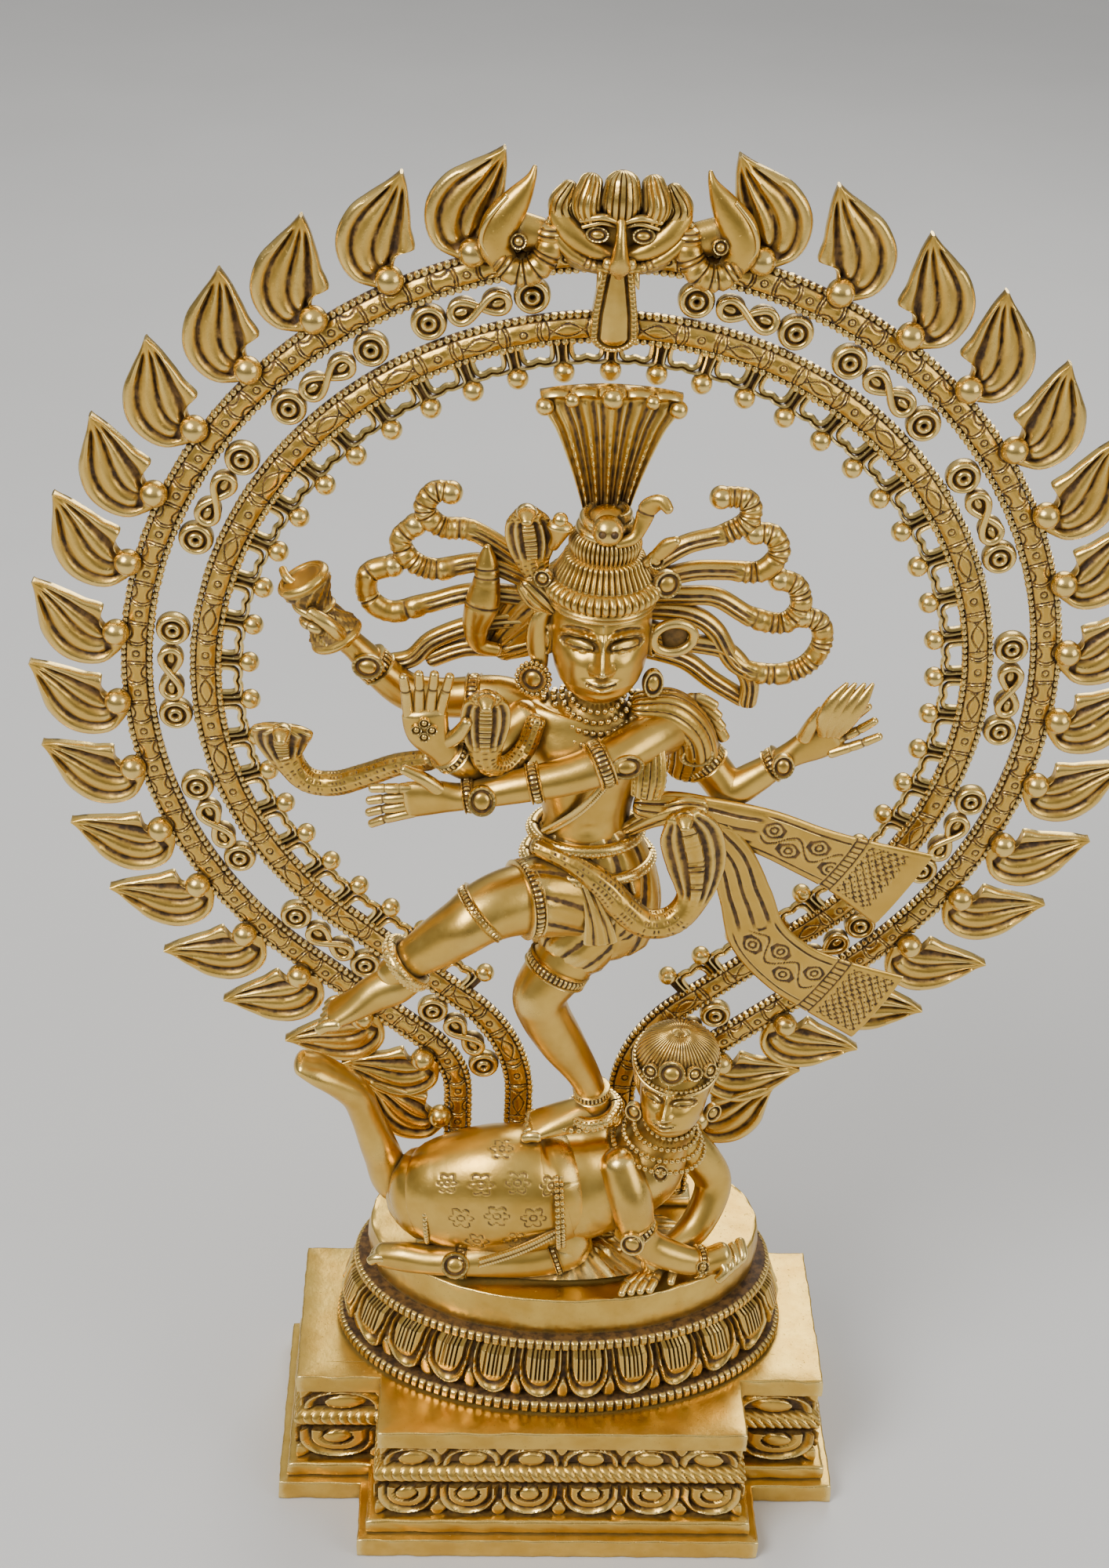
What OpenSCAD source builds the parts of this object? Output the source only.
// Brass nataraja: a dancer on a crouching dwarf, ringed by a flaming arch, on a lotus pedestal.
// Millimetres, +Z up, +X to the viewer's right, -Y towards the viewer.
// The origin is on the ground under the middle of the pedestal.

/* [Pedestal] */
// Half width of the cap slab across its two side wings
wing_x = 175; // [168:1:182]
// Half depth of the side wings
wing_y = 60; // [54:1:66]
// Half width of the front and rear blocks
block_x = 120; // [112:1:124]
// Half depth of the front and rear blocks
block_y = 107; // [100:1:112]
// How far the bottom plate stands out beyond the cap slab
plate_out = 13; // [10:1:15]
// Thickness of the bottom plate
plate_h = 16; // [15:1:18]
// Height of the plain step and the large petal frieze together
petal_h = 39; // [36:1:42]
// Height of the twisted rope moulding
rope_h = 18; // [16:1:20]
// Height of the small petal row under the cap slab
bud_h = 17; // [15:1:19]
// Thickness of the cap slab
slab_h = 15; // [13:1:17]

/* [Lotus seat] */
// Half width of the oval lotus seat at its foot
lotus_x = 146; // [142:1:150]
// Half depth of the oval lotus seat at its foot
lotus_y = 87; // [84:1:90]
// Height of the lotus seat
lotus_h = 60; // [56:1:64]
// Half width of the oval plinth
plinth_x = 128; // [126:1:132]
// Half depth of the oval plinth
plinth_y = 77; // [75:1:80]
// Height of the oval plinth
plinth_h = 30; // [28:1:32]

/* [Flaming arch] */
// Radius of the outer band, along the middle of the strap
outer_r = 260; // [258:1:262]
// Radius of the inner band, along the middle of the strap
inner_r = 221; // [219:1:223]
// Height of the arch's centre above the ground
arch_z = 594; // [592:1:596]
// Distance of the arch behind the middle of the pedestal
arch_y = 18; // [18:0.5:20]
// Width of a band's strap
strap_w = 11; // [10:0.5:12]
// Depth of a band's strap, front to back
strap_t = 9; // [8:0.5:10]
// Diameter of the beaded cord on each side of a strap
cord_d = 4; // [3.5:0.1:4.5]
// Number of flames on each side
flame_count = 17; // [15:1:17]
// Spacing of the flames along the arch
flame_step = 45.5; // [44:0.5:46]
// Diameter of the ball at each flame's root
flame_ball_d = 15; // [13:1:16]
// Diameter of the small balls hanging inside the arch
fringe_ball_d = 11; // [9:1:12]
// Spacing of the small balls along the inner fringe
fringe_step = 25.5; // [24:0.5:28]

/* [Fastening] */
// Diameter of the two tie rods that hold the pedestal together
rod_d = 10; // [8:1:12]
// Distance of each tie rod from the middle
rod_x = 52; // [48:1:56]
// Length of the tenons under the arch
tenon_l = 22; // [18:1:24]
// Play between a tenon and its socket
play = 0.4; // [0.3:0.1:0.6]

/* [Hidden] */

brass = "#c9a24a";
bright = "#dcbc66";
dark = "#9c7a30";
steel = "#9aa0a4";

// Heights of the pedestal's courses
petal_z = plate_h;
rope_z = petal_z + petal_h;
bud_z = rope_z + rope_h;
slab_z = bud_z + bud_h;
lotus_z = slab_z + slab_h;
plinth_z = lotus_z + lotus_h;
deck_z = plinth_z + plinth_h;

// The arch: a ring down to ring_end degrees from its top, a straight run, a bend, an upright leg
ring_end = 140;
run_l = 96;
bend_base = 60;
bend_turn = ring_end - 90;
bend_reach = outer_r + bend_base;
bend_x = -bend_reach * sin(ring_end) + run_l * -cos(ring_end);
bend_z = arch_z + bend_reach * cos(ring_end) - run_l * sin(ring_end);
mid_r = (outer_r + inner_r) / 2;
leg_foot_z = deck_z + 8;

// ---------- shared geometry ----------

// Point (x, z) on the left side of the arch, s along it from the top, r from the arch's centre
function arch_ring_l(r) = r * ring_end * PI / 180;
function arch_bend_l(r) = (bend_reach - r) * bend_turn * PI / 180;
function arch_turn(r, s) =
  s < arch_ring_l(r) ? s / r * 180 / PI :
  s < arch_ring_l(r) + run_l ? ring_end :
  s < arch_ring_l(r) + run_l + arch_bend_l(r) ?
    ring_end - (s - arch_ring_l(r) - run_l) / (bend_reach - r) * 180 / PI : 90;
function arch_at(r, s) =
  let (a = arch_turn(r, s), l = arch_ring_l(r), b = arch_bend_l(r))
  s < l ? [-r * sin(a), arch_z + r * cos(a)] :
  s < l + run_l ?
    [-r * sin(ring_end) - (s - l) * cos(ring_end), arch_z + r * cos(ring_end) - (s - l) * sin(ring_end)] :
  s < l + run_l + b ?
    [bend_x + (bend_reach - r) * sin(a), bend_z - (bend_reach - r) * cos(a)] :
    [bend_x + bend_reach - r, bend_z - (s - l - run_l - b)];

// Puts its children, drawn in the XZ plane with +Z pointing away from the arch, at s along it
module on_arch(r, s) {
  p = arch_at(r, s);
  translate([p[0], arch_y, p[1]]) rotate([0, -arch_turn(r, s), 0]) children();
}

module both_sides() {
  children();
  mirror([1, 0, 0]) children();
}

// Catmull-Rom curve through the rows of c, with k steps between two rows
function spline(c, k) = [
  for (i = [0 : len(c) - 2]) for (j = [0 : k - 1])
    let (t = j / k, a = c[max(i - 1, 0)], b = c[i], d = c[i + 1], e = c[min(i + 2, len(c) - 1)])
    (2 * b + t * (d - a) + t * t * (2 * a - 5 * b + 4 * d - e) + t * t * t * (3 * b - a - 3 * d + e)) / 2,
  c[len(c) - 1]
];
function xyz(p) = [p[0], p[1], p[2]];
function unit(v) = v / norm(v);
function along(c, i) = unit(xyz(c[min(i + 1, len(c) - 1)]) - xyz(c[max(i - 1, 0)]));
function across(t) = unit(cross(t, [0, 1, 0]));

// A rounded body swept along rows [x, y, z, half width, half depth], with n sides
module limb(rows, n = 10, k = 3) {
  c = spline(rows, k);
  m = len(c);
  pts = [for (i = [0 : m - 1]) let (t = along(c, i), u = across(t), w = unit(cross(u, t)))
    for (j = [0 : n - 1]) let (a = 360 * j / n) xyz(c[i]) + c[i][3] * cos(a) * u + c[i][4] * sin(a) * w];
  sides = [for (i = [0 : m - 2]) for (j = [0 : n - 1])
    let (q = (j + 1) % n) each [
      [i * n + j, i * n + q, (i + 1) * n + q],
      [i * n + j, (i + 1) * n + q, (i + 1) * n + j]]];
  caps = [for (j = [1 : n - 2]) each [
    [0, j + 1, j],
    [(m - 1) * n, (m - 1) * n + j, (m - 1) * n + j + 1]]];
  polyhedron(points = pts, faces = concat(sides, caps));
}

// A ring of round section about the axis from a towards b
module ring_about(a, b, r, w) {
  d = unit(b - a);
  translate(a) rotate([0, acos(d[2]), atan2(d[1], d[0])]) rotate_extrude($fn = 48)
    translate([r, 0]) circle(d = w, $fn = 16);
}

function oval(a, b, n = 64) = [for (i = [0 : n - 1]) [a * cos(360 * i / n), b * sin(360 * i / n)]];

// The cross-shaped plan shared by the pedestal's courses, grown by g
module cross_plan(g) {
  square([2 * (wing_x + g), 2 * (wing_y + g)], center = true);
  square([2 * (block_x + g), 2 * (block_y + g)], center = true);
}

module rod_bores(z0, z1) {
  for (x = [-rod_x, rod_x]) translate([x, 0, z0]) cylinder(d = rod_d + play, h = z1 - z0, $fn = 48);
}

// ---------- pedestal ----------

module base_plate() {
  color(brass) difference() {
    linear_extrude(plate_h) cross_plan(plate_out);
    rod_bores(-1, plate_h + 1);
    for (x = [-rod_x, rod_x]) translate([x, 0, -1]) cylinder(d = 2.6 * rod_d, h = 11, $fn = 48);
  }
}

module petal_frieze() {
  step_h = 12;
  color(dark) difference() {
    union() {
      translate([0, 0, petal_z]) linear_extrude(step_h) cross_plan(plate_out - 6);
      translate([0, 0, petal_z + step_h]) linear_extrude(petal_h - step_h) cross_plan(-3);
    }
    rod_bores(petal_z - 1, rope_z + 1);
  }
}

module rope_moulding() {
  inset = 8;
  color(brass) difference() {
    union() {
      translate([0, 0, rope_z]) linear_extrude(rope_h) cross_plan(-inset);
      // the rope itself runs round the cross-shaped wall, one straight run per face
      for (z = [rope_z + rope_h / 2]) {
        for (s = [-1, 1]) {
          translate([-block_x + 2, s * (block_y - 5), z]) rotate([0, 90, 0])
            cylinder(d = 13, h = 2 * block_x - 4, $fn = 24);
          translate([s * (wing_x - 5), -wing_y + 2, z]) rotate([-90, 0, 0])
            cylinder(d = 13, h = 2 * wing_y - 4, $fn = 24);
          for (q = [-1, 1]) {
            translate([s > 0 ? block_x - 8 : -wing_x + 2, q * (wing_y - 5), z]) rotate([0, 90, 0])
              cylinder(d = 13, h = wing_x - block_x + 6, $fn = 24);
            translate([s * (block_x - 5), q > 0 ? wing_y - 8 : -block_y + 2, z]) rotate([-90, 0, 0])
              cylinder(d = 13, h = block_y - wing_y + 6, $fn = 24);
          }
        }
      }
    }
    rod_bores(rope_z - 1, bud_z + 1);
  }
}

module bud_frieze() {
  color(dark) difference() {
    translate([0, 0, bud_z]) linear_extrude(bud_h) cross_plan(-6);
    rod_bores(bud_z - 1, slab_z + 1);
  }
}

module cap_slab() {
  color(bright) difference() {
    translate([0, 0, slab_z]) linear_extrude(slab_h) cross_plan(0);
    rod_bores(slab_z - 1, lotus_z + 1);
  }
}

// ---------- lotus seat and plinth ----------

lotus_bead_h = 9;

module lotus_seat() {
  waist = 0.94;
  belly = 1.02;
  color(brass) difference() {
    union() {
      translate([0, 0, lotus_z]) linear_extrude(lotus_bead_h) polygon(oval(waist * lotus_x, waist * lotus_y));
      translate([0, 0, lotus_z + lotus_bead_h]) linear_extrude(26)
        polygon(oval(belly * lotus_x, belly * lotus_y));
      translate([0, 0, lotus_z + lotus_bead_h + 26]) linear_extrude(lotus_h - lotus_bead_h - 32)
        polygon(oval(0.97 * lotus_x, 0.97 * lotus_y));
      translate([0, 0, plinth_z - 6]) linear_extrude(6) polygon(oval(plinth_x, plinth_y));
    }
    rod_bores(lotus_z - 1, plinth_z + 1);
  }
}

module oval_collar(a, b, w, z, h) {
  translate([0, 0, z]) linear_extrude(h) difference() {
    polygon(oval(a, b));
    polygon(oval(a - w, b - w));
  }
}

module lotus_lower_beads() {
  color(bright) oval_collar(1.03 * lotus_x, 1.03 * lotus_y + 1, 0.09 * lotus_x - 1, lotus_z, lotus_bead_h);
}

module lotus_upper_beads() {
  color(bright) oval_collar(plinth_x + 11, plinth_y + 8, 10.5, plinth_z - 6, 6);
}

module arch_foot_spots() {
  for (x = [-1, 1]) translate([x * (-bend_x - bend_reach + mid_r), arch_y, 0]) children();
}

module oval_plinth() {
  color(bright) difference() {
    translate([0, 0, plinth_z]) linear_extrude(plinth_h) polygon(oval(plinth_x, plinth_y));
    rod_bores(plinth_z - 1, deck_z - 8);
    arch_foot_spots() translate([-10 - play, -4 - play, deck_z - tenon_l - 2])
      cube([20 + 2 * play, 8 + 2 * play, tenon_l + 3]);
  }
}

module tie_rods() {
  color(steel) for (x = [-rod_x, rod_x]) translate([x, 0, 1]) cylinder(d = rod_d, h = deck_z - 10, $fn = 48);
}

module tie_washers() {
  color(steel) for (x = [-rod_x, rod_x]) translate([x, 0, 8]) difference() {
    cylinder(d = 2.2 * rod_d, h = 1.9, $fn = 48);
    translate([0, 0, -1]) cylinder(d = rod_d + play, h = 4, $fn = 48);
  }
}

module tie_nuts() {
  color(steel) for (x = [-rod_x, rod_x]) translate([x, 0, 2]) difference() {
    cylinder(d = 1.8 * rod_d, h = 5.9, $fn = 6);
    translate([0, 0, -1]) cylinder(d = rod_d + play, h = 8, $fn = 48);
  }
}

// ---------- dwarf ----------

module dwarf_body() {
  color(brass) {
    limb([[-98, -20, 232, 24, 24], [-75, -23, 238, 36, 28], [-45, -26, 244, 45, 32], [-10, -26, 246, 40, 30],
          [20, -24, 252, 36, 29], [45, -23, 266, 30, 28], [58, -24, 290, 17, 19], [62, -26, 306, 14, 15]], 14);
    // rocky ground that the dwarf lies on
    translate([-8, -24, deck_z]) linear_extrude(9) polygon(oval(84, 34, 40));
  }
}

module dwarf_head() {
  color(bright) limb([[60, -30, 300, 8, 9], [60, -31, 308, 19, 20], [61, -31, 322, 23, 25], [62, -30, 340, 24, 26],
                      [63, -29, 356, 21, 23], [63, -28, 366, 10, 12]], 14);
}

module dwarf_hair() {
  color(dark) {
    limb([[63, -20, 316, 22, 14], [63, -20, 334, 29, 22], [63, -23, 352, 29, 27], [63, -25, 368, 22, 22],
          [63, -26, 380, 8, 8]], 14);
  }
}

module dwarf_near_arm() {
  color(brass) {
    limb([[30, -44, 282, 13, 13], [37, -54, 262, 14, 14], [42, -60, 240, 12, 12], [50, -62, 224, 11, 11],
          [74, -62, 212, 10, 9], [90, -60, 206, 9, 8], [106, -54, 206, 13, 10]], 10);
    for (i = [0 : 3]) limb([[102 + 5 * i, -56 + 4 * i, 208, 3, 4], [106 + 4 * i, -66 + 4 * i, 204, 3, 4],
                            [102 + 3 * i, -68 + 4 * i, 198, 3, 3]], 6, 2);
  }
}

module dwarf_far_arm() {
  color(brass) {
    limb([[66, -12, 284, 13, 10], [84, -14, 262, 13, 10], [94, -16, 240, 12, 10], [84, -28, 216, 11, 10],
          [66, -42, 206, 10, 8], [52, -56, 203, 12, 6]], 10);
    for (i = [0 : 3]) limb([[58 - 5 * i, -52 - 2 * i, 201, 3, 3], [54 - 6 * i, -63 - 1 * i, 200, 3, 3],
                            [50 - 6 * i, -68 - 1 * i, 198.5, 2.5, 2.5]], 6, 2);
  }
}

module dwarf_raised_leg() {
  color(brass) limb([[-62, -14, 246, 24, 20], [-92, -12, 236, 20, 17], [-112, -12, 238, 14, 14], [-120, -14, 262, 12, 12],
                     [-130, -16, 296, 10, 11], [-138, -18, 318, 8, 10], [-152, -20, 326, 7, 11],
                     [-164, -22, 330, 5, 10]], 10);
}

module dwarf_folded_leg() {
  color(brass) limb([[-50, -34, 240, 26, 17], [-20, -46, 232, 22, 14], [0, -52, 216, 16, 13], [-22, -56, 208, 13, 12],
                     [-60, -58, 207, 11, 11], [-92, -58, 206, 9, 10], [-112, -56, 205, 10, 9],
                     [-128, -52, 203, 7, 7]], 10);
}

module dwarf_loincloth() {
  color(bright) limb([[-92, -23, 236, 32, 28], [-78, -27, 240, 41, 31], [-45, -30, 246, 48, 35], [-18, -30, 246, 45, 34],
                      [-6, -28, 248, 41, 32]], 14);
}

module dwarf_ornaments() {
  color(bright) {
    for (r = [0, 1]) ring_about([60 - 3 * r, -27, 298 - 7 * r], [62, -30, 330], 21 + 5 * r, 5);
    for (x = [36, 88]) translate([x, -26, 318]) sphere(d = 11, $fn = 24);
    ring_about([42, -61, 236], [48, -62, 226], 13, 5);
    ring_about([88, -60, 207], [96, -58, 206], 11, 5);
    ring_about([-70, -58, 207], [-80, -58, 206.5], 12, 6);
  }
}

// ---------- dancer: body and head ----------

module torso() {
  color(brass) limb([[2, -22, 478, 30, 22], [0, -22, 500, 33, 24], [-2, -22, 518, 28, 21], [-2, -22, 534, 26, 19],
                     [-3, -23, 556, 31, 22], [-4, -23, 578, 39, 24], [-3, -21, 594, 44, 20], [-1, -20, 603, 28, 16],
                     [0, -20, 612, 13, 13], [0, -20, 626, 12, 12]], 14);
}

module hip_cloth() {
  color(bright) limb([[4, -24, 452, 38, 22], [4, -24, 470, 41, 26], [2, -23, 492, 39, 28], [-1, -22, 512, 33, 25],
                      [-2, -22, 520, 30, 23]], 14);
}

module head() {
  color(bright) limb([[0, -30, 617, 8, 9], [0, -27, 624, 18, 19], [0, -24, 638, 24, 24], [0, -22, 654, 26, 26],
                      [0, -21, 670, 25, 25], [0, -20, 682, 20, 20]], 16);
}

module crown() {
  color(brass) {
    translate([0, -20, 0]) rotate_extrude($fn = 64) polygon([
      [0, 668], [28, 668], [31, 675], [30, 683], [25, 687], [25, 704], [28, 706], [25, 710],
      [18, 711], [19, 722], [16, 727], [9, 732], [0, 734]]);
  }
}

module crown_plume() {
  color(brass) {
    for (i = [-2 : 2]) limb([[4.5 * i, -10, 716, 4.2, 4], [6 * i, -8, 740, 5, 4.5], [8.5 * i, -6, 766, 6, 5],
                             [13 * i, -8, 786, 8, 6], [14.5 * i, -14, 793, 8, 5]], 10);
  }
}

module crown_cobra() {
  color(bright) {
    limb([[-22, -26, 676, 4, 4], [-34, -22, 682, 4, 4], [-38, -20, 696, 6, 4], [-40, -20, 712, 12, 5],
          [-42, -21, 724, 10, 5], [-43, -24, 730, 5, 4]], 10);
    translate([0, -34, 729]) sphere(d = 17, $fn = 32);
  }
}

// ---------- dancer: hair ----------

// A lock of hair through [x, z] points, at depth y, thinning a little to its end
module lock(pts, y = -7, w = 6) {
  last = len(pts) - 1;
  limb([for (i = [0 : last]) [pts[i][0], y + 3 * i / last, pts[i][1], w - 2 * i / last, 4.5]], 8, 3);
}

module hair_left() {
  color(brass) {
    limb([[-20, -8, 670, 14, 8], [-32, -6, 656, 22, 7], [-46, -5, 642, 18, 6], [-56, -5, 632, 10, 5]], 12);
    lock([[-22, 676], [-46, 690], [-70, 705], [-90, 707], [-97, 720], [-84, 727]]);
    lock([[-24, 668], [-62, 686], [-92, 680], [-106, 688], [-110, 702], [-100, 708]]);
    lock([[-24, 664], [-66, 666], [-92, 660], [-116, 654], [-128, 664], [-124, 682], [-110, 680]]);
    lock([[-24, 652], [-60, 650], [-90, 638], [-104, 624], [-122, 620]]);
    lock([[-24, 644], [-52, 634], [-74, 632], [-92, 624]]);
    // shell trumpet standing in the hair
    limb([[-62, -12, 652, 7, 5], [-64, -12, 666, 10, 7], [-64, -12, 684, 6, 5], [-64, -12, 698, 3, 3]], 10);
  }
}

module hair_right() {
  color(brass) {
    lock([[22, 684], [44, 700], [68, 708], [78, 722], [60, 727]]);
    lock([[22, 676], [48, 684], [68, 685], [88, 684], [96, 698], [82, 706]]);
    lock([[22, 668], [46, 669], [62, 670], [84, 656], [104, 652], [110, 668], [98, 678]]);
    lock([[22, 660], [48, 658], [64, 648], [78, 626], [100, 619], [122, 632], [124, 650], [114, 656]]);
    lock([[22, 650], [48, 640], [72, 634], [86, 616], [86, 600]]);
    lock([[22, 634], [48, 626], [66, 612], [84, 600]], -3);
  }
}

// ---------- dancer: jewellery ----------

module earrings() {
  color(bright) {
    translate([-31, -24, 630]) rotate([90, 0, 20]) cylinder(d = 17, h = 8, center = true, $fn = 40);
    translate([32, -24, 642]) rotate([90, 0, -20]) rotate_extrude($fn = 40) translate([8, 0]) circle(d = 6, $fn = 16);
  }
}

module necklaces() {
  color(bright) for (i = [0 : 2])
    ring_about([0, -22 - 1.5 * i, 609 - 6 * i], [0, -40, 640], 17 + 5 * i, 4.5);
}

module waist_belts() {
  color(bright) {
    ring_about([-2, -22, 523], [-2, -22, 540], 26, 8);
    ring_about([0, -22, 504], [0, -22, 540], 31, 8);
  }
}

module shoulder_tassels() {
  color(bright) limb([[26, -22, 606, 9, 10], [40, -20, 602, 13, 13], [52, -18, 590, 12, 13], [56, -16, 574, 13, 11],
                      [56, -14, 562, 11, 8]], 12);
}

// ---------- dancer: arms ----------

// Four fingers from the knuckles k, each bending through the offsets in bends
module fingers(k, spread, bends, w = 3.2) {
  for (i = [0 : 3])
    limb([for (j = [0 : len(bends) - 1]) let (p = k + (i - 1.5) * spread * (1 + 0.25 * j) + bends[j])
      [p[0], p[1], p[2], w - 0.4 * j, w - 0.4 * j]], 6, 2);
}

module drum_arm() {
  color(brass) {
    limb([[-34, -14, 596, 16, 14], [-56, -12, 604, 13, 12], [-84, -10, 602, 11, 10], [-107, -10, 606, 10.5, 10],
          [-122, -12, 622, 9, 9], [-138, -14, 640, 7, 7], [-147, -17, 650, 8, 7]], 10);
    limb([[-141, -22, 646, 5, 6], [-143, -29, 656, 6, 5], [-148, -31, 664, 5, 4], [-156, -29, 668, 4, 4]], 8);
    fingers([-158, -24, 664], [2.5, -3, -4], [[0, 0, 0], [-6, 3, 3], [-8, 10, 4]]);
  }
}

module blessing_arm() {
  color(brass) {
    limb([[-38, -24, 596, 15, 14], [-52, -32, 588, 12, 12], [-66, -44, 582, 11, 11], [-78, -54, 592, 9, 9],
          [-86, -58, 600, 8, 8], [-94, -60, 612, 12, 6], [-95, -60, 622, 12, 5]], 10);
    fingers([-95, -60, 622], [5.6, 0, 0.5], [[0, 0, -2], [0.5, -1, 12], [1, -2, 24]]);
    limb([[-84, -60, 606, 4, 4], [-78, -62, 614, 3.6, 3.6], [-75, -62, 622, 3, 3]], 6, 2);
  }
}

module crossing_arm() {
  color(brass) {
    limb([[40, -24, 594, 15, 14], [26, -38, 594, 13, 13], [6, -52, 589, 12, 12], [-14, -58, 583, 11, 11],
          [-44, -60, 576, 9, 9], [-72, -60, 569, 7.5, 7.5], [-90, -60, 568, 11, 6], [-104, -60, 566, 11, 5]], 10);
    fingers([-102, -60, 566], [0, 0, 5.2], [[2, 0, 0], [-11, -1, -2], [-24, 1, -6]]);
    limb([[-90, -61, 574, 4, 4], [-98, -63, 582, 3.4, 3.6], [-108, -63, 587, 3, 3]], 6, 2);
  }
}

module flame_arm() {
  color(brass) {
    limb([[36, -14, 592, 15, 13], [54, -14, 580, 13, 12], [70, -16, 560, 11, 10], [80, -18, 550, 11, 10],
          [94, -19, 560, 9, 9], [110, -21, 574, 7, 7], [124, -22, 584, 11, 6], [134, -22, 590, 12, 6]], 10);
    fingers([136, -22, 592], [2.8, -3, -4.4], [[-10, 0, -6], [8, -2, 4], [17, -3, 13]]);
    limb([[120, -24, 592, 4, 4], [122, -28, 602, 3.4, 3.4], [126, -30, 610, 3, 3]], 6, 2);
  }
}

module drum() {
  half = 21;
  color(bright) translate([-153, -19, 663]) rotate([0, -27, 0]) rotate_extrude($fn = 48) polygon([
    [0, -half], [14, -half], [15, -half + 4], [8, -3], [8, 3], [15, half - 4], [14, half], [0, half]]);
}

module hand_flame() {
  color(bright) for (i = [-1 : 1])
    limb([[134 + 3 * i, -28, 596, 4, 3], [138 + 7 * i, -30, 610, 5, 3.5], [142 + 8 * i, -29, 622, 3.5, 3],
          [146 + 7 * i, -28, 632, 1.5, 1.5]], 8);
}

module arm_bands() {
  color(bright) {
    ring_about([-66, -11, 604], [-76, -10, 603], 13, 6);
    ring_about([-128, -13, 629], [-138, -14, 640], 10, 7);
    ring_about([-82, -56, 596], [-86, -58, 600], 10, 5);
    ring_about([4, -53, 588], [-14, -58, 583], 13.5, 7);
    ring_about([-30, -59, 579], [-44, -60, 576], 11.5, 6);
    ring_about([-64, -60, 571], [-72, -60, 569], 10, 8);
    ring_about([60, -15, 572], [70, -16, 560], 13, 6);
    ring_about([106, -21, 571], [112, -21, 576], 10, 7);
  }
}

// ---------- dancer: serpents and sash ----------

module arm_cobra() {
  color(brass) limb([[-34, -40, 606, 6, 6], [-46, -46, 594, 6.5, 6.5], [-58, -56, 590, 6.5, 6], [-62, -60, 602, 9, 5],
                     [-62, -60, 616, 13, 4.5], [-62, -62, 630, 12, 5], [-62, -68, 640, 7, 5]], 10);
}

module side_cobra() {
  color(brass) limb([[-92, -50, 586, 7, 6], [-110, -40, 576, 7, 7], [-128, -30, 562, 7.5, 7], [-146, -24, 552, 8, 7],
                     [-164, -22, 554, 8, 7], [-175, -22, 568, 9, 6], [-176, -24, 582, 16, 6],
                     [-174, -34, 594, 17, 5]], 10);
}

module waist_cobra() {
  color(brass) {
    limb([[-30, -40, 522, 6, 6], [-10, -47, 520, 7, 7], [8, -51, 510, 8, 8], [20, -52, 492, 9, 8],
          [34, -52, 480, 9, 8], [50, -50, 482, 9, 8], [60, -48, 498, 9, 7], [58, -50, 520, 15, 5],
          [54, -52, 544, 18, 5], [49, -56, 560, 10, 6]], 10);
  }
}

module sash() {
  color(bright) {
    limb([[28, -34, 548, 8, 6], [48, -36, 546, 12, 5], [68, -32, 538, 14, 4], [100, -26, 526, 15, 3.5],
          [130, -22, 510, 16, 3.5], [158, -16, 494, 20, 3.5], [190, -12, 476, 28, 3]], 8);
    limb([[62, -32, 536, 12, 4], [82, -30, 510, 13, 3.5], [94, -28, 480, 15, 3.5], [104, -26, 450, 16, 3.5],
          [126, -22, 424, 17, 3.5], [152, -18, 406, 20, 3.5], [184, -14, 388, 25, 3]], 8);
  }
}

// ---------- dancer: legs ----------

module raised_leg() {
  color(brass) {
    limb([[8, -28, 482, 27, 22], [-18, -38, 488, 24, 21], [-44, -50, 490, 21, 19], [-64, -58, 486, 17, 17],
          [-84, -60, 470, 14, 14], [-102, -60, 454, 11, 11], [-113, -60, 444, 9, 9]], 12);
    limb([[-96, -58, 436, 9, 9], [-110, -60, 436, 13, 11], [-128, -62, 426, 11, 11], [-146, -62, 416, 6, 12]], 10);
    for (i = [0 : 4]) limb([[-142, -72 + 5 * i, 418 + i, 3, 3], [-150, -73 + 5 * i, 413 + i, 2.8, 2.8],
                            [-155, -73 + 5 * i, 410 + i, 2, 2]], 6, 2);
  }
}

module standing_leg() {
  color(brass) {
    limb([[10, -22, 482, 26, 22], [2, -27, 460, 23, 20], [-12, -34, 436, 19, 18], [-24, -38, 416, 16, 16],
          [-22, -36, 398, 15, 14], [-10, -30, 370, 13, 13], [4, -25, 342, 9.5, 10], [12, -22, 320, 9, 9],
          [14, -22, 306, 10, 10]], 12);
    limb([[24, -20, 304, 9, 9], [8, -22, 304, 11, 11], [-12, -24, 301, 9, 12], [-26, -26, 297, 5, 12]], 10);
    for (i = [0 : 4]) limb([[-23, -36 + 5 * i, 297, 3, 3], [-32, -37 + 5 * i, 296, 2.8, 2.8],
                            [-38, -37 + 5 * i, 294.5, 2, 2]], 6, 2);
  }
}

module anklets() {
  color(bright) {
    ring_about([-106, -60, 450], [-113, -60, 444], 12, 8);
    ring_about([-58, -56, 488], [-64, -58, 486], 18.5, 6);
    ring_about([12, -22, 320], [14, -22, 306], 11.5, 7);
    ring_about([-8, -32, 442], [-16, -35, 430], 21, 6);
    ring_about([-30, -44, 490], [-44, -50, 490], 23.5, 6);
  }
}

// ---------- flaming arch ----------

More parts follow.
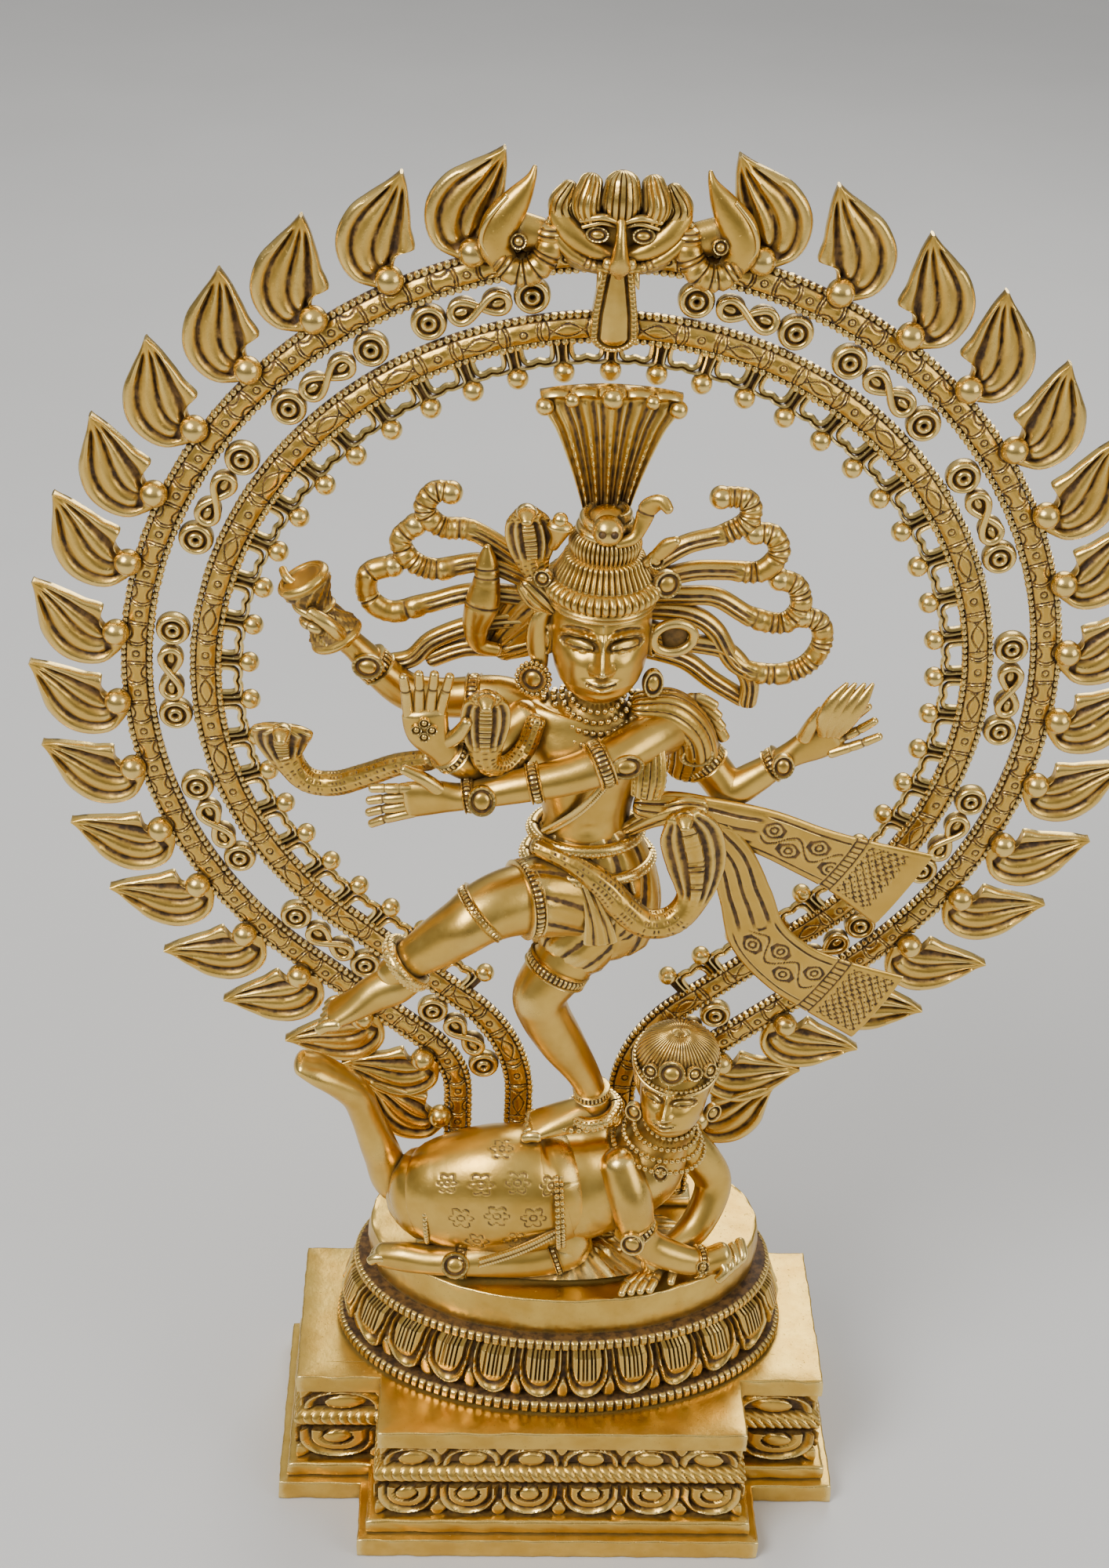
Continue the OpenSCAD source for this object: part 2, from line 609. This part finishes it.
// A band of the arch at radius r: the profile, drawn about the middle of the band, is carried
// round the ring, down the straight run, round the bend and down the leg
module arch_band(r, foot_z) {
  bend_r = bend_reach - r;
  both_sides() {
    translate([0, arch_y, arch_z]) rotate([90, 0, 0]) rotate([0, 0, 90 - 0.01])
      rotate_extrude(angle = ring_end + 0.02, $fn = 180) translate([r, 0]) children();
    p = arch_at(r, arch_ring_l(r));
    translate([p[0], arch_y, p[1]]) rotate([0, ring_end - 90 + 90, 0]) rotate([0, 0, 180])
      linear_extrude(run_l) children();
    translate([bend_x, arch_y, bend_z]) rotate([90, 0, 0])
      rotate_extrude(angle = bend_turn, $fn = 120) translate([bend_r, 0]) children();
    translate([bend_x + bend_r, arch_y, foot_z]) linear_extrude(bend_z - foot_z) children();
  }
}

// A strap's section: flat back, crowned front, drawn with its width along X
module strap_section() {
  square([strap_w, strap_t], center = true);
}

module outer_band() {
  color(brass) arch_band(outer_r, leg_foot_z) strap_section();
}

module inner_band() {
  color(brass) arch_band(inner_r, leg_foot_z) strap_section();
}

module beaded_cords() {
  gap = strap_w / 2 + cord_d / 2 - 0.3;
  color(bright) for (r = [outer_r + gap, outer_r - gap, inner_r + gap, inner_r - gap])
    arch_band(r, leg_foot_z) square(cord_d, center = true);
}

// Middles of the groups of two rosettes and a figure eight, along the arch at mid_r
group_s = [71, 161, 257, 373, 480, 590, 701];
rosette_off = 28;

module rosettes() {
  d = outer_r - inner_r - strap_w - 2 * cord_d + 1;
  color(bright) both_sides() for (s = group_s) for (o = [-rosette_off, rosette_off])
    on_arch(mid_r, s + o) rotate([90, 0, 0]) {
      cylinder(d = d, h = 7, center = true, $fn = 36);
      translate([0, 0, 3]) cylinder(d = 7, h = 3, $fn = 24);
    }
}

module figure_eights() {
  h = outer_r - inner_r - strap_w - 2 * cord_d + 1;
  color(bright) both_sides() for (s = group_s) on_arch(mid_r, s) rotate([90, 0, 0])
    linear_extrude(7, center = true) for (x = [-8.5, 8.5]) translate([x, 0]) circle(d = 16, $fn = 28);
}

// Outline of a flame: a leaf with a round foot, whose tip leans up the arch
function flame_outline(l, w, lean) = concat(
  [for (i = [0 : 8]) let (t = i / 8) [
    -w * sin(150 * pow(t, 0.8)) * (1 - 0.55 * t) + lean * t * t, l * t]],
  [for (i = [7 : -1 : 1]) let (t = i / 8) [
    w * sin(150 * pow(t, 0.8)) * (1 - 0.75 * t) + lean * t * t, l * t]]);

function flame_s(i) = 75 + flame_step * i + max(0, i - 13) * 5;
flame_r = outer_r + strap_w / 2 + cord_d - 1;

// The flames of one side; the other side is its mirror image
module flame_row() {
  color(brass) for (i = [0 : flame_count - 1])
    on_arch(flame_r, flame_s(i)) rotate([90, 0, 0]) linear_extrude(7, center = true)
      polygon(flame_outline(50, 22, 22));
}

module flames_left() {
  flame_row();
}

module flames_right() {
  mirror([1, 0, 0]) flame_row();
}

module flame_balls() {
  color(bright) both_sides() for (i = [0 : flame_count - 1])
    on_arch(flame_r + 3, flame_s(i)) translate([0, -7, 0]) sphere(d = flame_ball_d, $fn = 32);
}

wire_r = 203;
fringe_count = 23;

module fringe_wire() {
  h = inner_r - strap_w / 2 - cord_d - wire_r + 1;
  color(brass) {
    both_sides() for (i = [0 : fringe_count]) on_arch(wire_r, fringe_step * i) {
      translate([-4.5, -3, -1]) cube([9, 6, h + 2]);
      translate([-9, -2, -2]) cube([18, 4, 4]);
    }
  }
}

module fringe_balls() {
  color(bright) for (m = [0, 1]) mirror([m, 0, 0]) for (i = [m : fringe_count])
    on_arch(wire_r, fringe_step * i) translate([0, 0, -6]) sphere(d = fringe_ball_d, $fn = 24);
}

// ---------- top of the arch ----------

module lion_mask() {
  color(brass) {
    translate([0, arch_y + 4, 868]) rotate([90, 0, 0]) linear_extrude(18) polygon(oval(34, 22, 40));
    for (x = [-24, -9, 9, 24]) translate([x, arch_y - 10, 893 - abs(x) / 4]) sphere(d = 17, $fn = 28);
    translate([0, arch_y - 18, 868]) sphere(d = 18, $fn = 28);
    for (x = [-1, 1]) {
      translate([x * 17, arch_y - 15, 872]) sphere(d = 14, $fn = 28);
      // trunk scroll of the sea beast on each side
      limb([[x * 30, arch_y - 4, 884, 7, 7], [x * 42, arch_y - 4, 888, 8, 7], [x * 54, arch_y - 4, 878, 8, 7],
            [x * 60, arch_y - 4, 864, 8, 7], [x * 70, arch_y - 4, 858, 6, 6], [x * 76, arch_y - 4, 866, 4, 5]], 10);
    }
  }
}

module tongue_pendant() {
  top = 858;
  foot = 806;
  color(bright) translate([0, arch_y - 4, 0]) rotate([90, 0, 0]) linear_extrude(7)
    polygon([[-9, top], [9, top], [12, foot + 14], [9, foot + 4], [0, foot], [-9, foot + 4], [-12, foot + 14]]);
}

module arch_feet() {
  foot_w = outer_r - inner_r + strap_w + 2 * cord_d + 4;
  color(brass) arch_foot_spots() {
    translate([-foot_w / 2, -8, deck_z + 0.3]) cube([foot_w, 16, 8.5]);
    translate([-10, -4, deck_z - tenon_l]) cube([20, 8, tenon_l + 1]);
  }
}

base_plate();
petal_frieze();
rope_moulding();
bud_frieze();
cap_slab();
lotus_seat();
lotus_lower_beads();
lotus_upper_beads();
oval_plinth();
tie_rods();
tie_washers();
tie_nuts();
dwarf_body();
dwarf_head();
dwarf_hair();
dwarf_near_arm();
dwarf_far_arm();
dwarf_raised_leg();
dwarf_folded_leg();
dwarf_loincloth();
dwarf_ornaments();
torso();
hip_cloth();
head();
crown();
crown_plume();
crown_cobra();
hair_left();
hair_right();
earrings();
necklaces();
waist_belts();
shoulder_tassels();
drum_arm();
blessing_arm();
crossing_arm();
flame_arm();
drum();
hand_flame();
arm_bands();
arm_cobra();
side_cobra();
waist_cobra();
sash();
raised_leg();
standing_leg();
anklets();
outer_band();
inner_band();
beaded_cords();
rosettes();
figure_eights();
flames_left();
flames_right();
flame_balls();
fringe_wire();
fringe_balls();
lion_mask();
tongue_pendant();
arch_feet();
